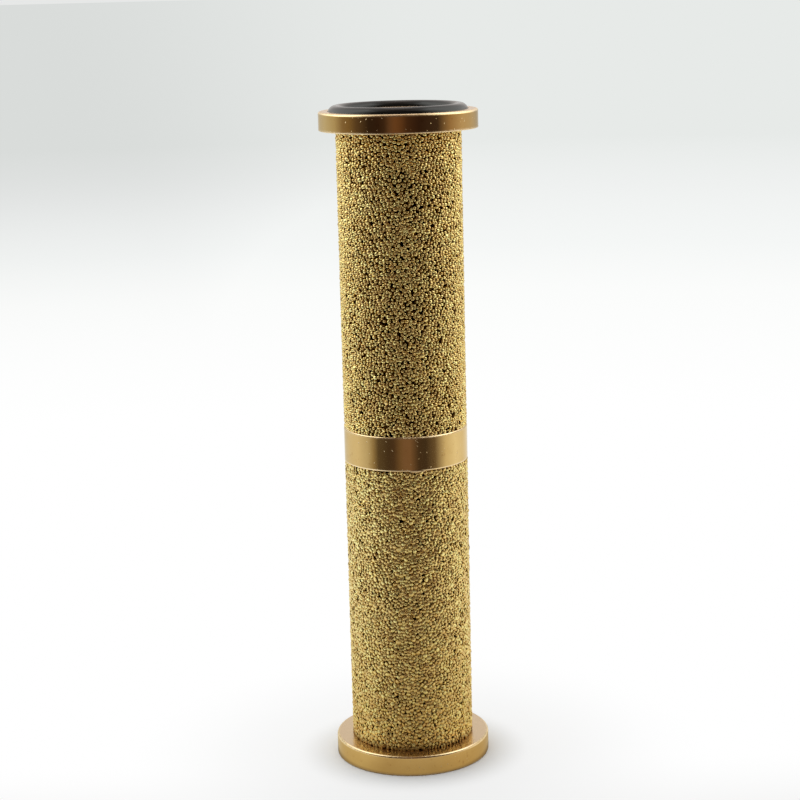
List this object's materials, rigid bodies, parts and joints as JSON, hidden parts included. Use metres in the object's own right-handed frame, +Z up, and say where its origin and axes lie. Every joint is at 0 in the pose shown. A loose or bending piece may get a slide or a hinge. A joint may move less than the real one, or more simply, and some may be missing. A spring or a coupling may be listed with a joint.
{
  "type": "hot melt filter element",
  "caption": "Porous sintered bronze bead tubes on a smooth joint ring, between a closed end flange and an outlet flange with a rubber seal ring in its face.",
  "frame": {"origin": "centre of the underside of the closed end flange", "axes": "+Z up the filter axis from the closed end to the outlet; the part is round about Z, so +X and +Y are free"},
  "size_m": [0.0303, 0.0302, 0.1287],
  "materials": {
    "turned_brass": "fine turned and polished, with light handling scratches",
    "sintered_bronze": "sintered round beads with dark pores between them",
    "seal_rubber": "smooth black moulded rubber"
  },
  "bodies": {
    "root": {"bottom_flange": "turned_brass", "lower_filter_tube": "sintered_bronze", "joint_ring": "turned_brass", "upper_filter_tube": "sintered_bronze", "top_flange": "turned_brass", "o_ring": "seal_rubber"}
  },
  "joints": []
}
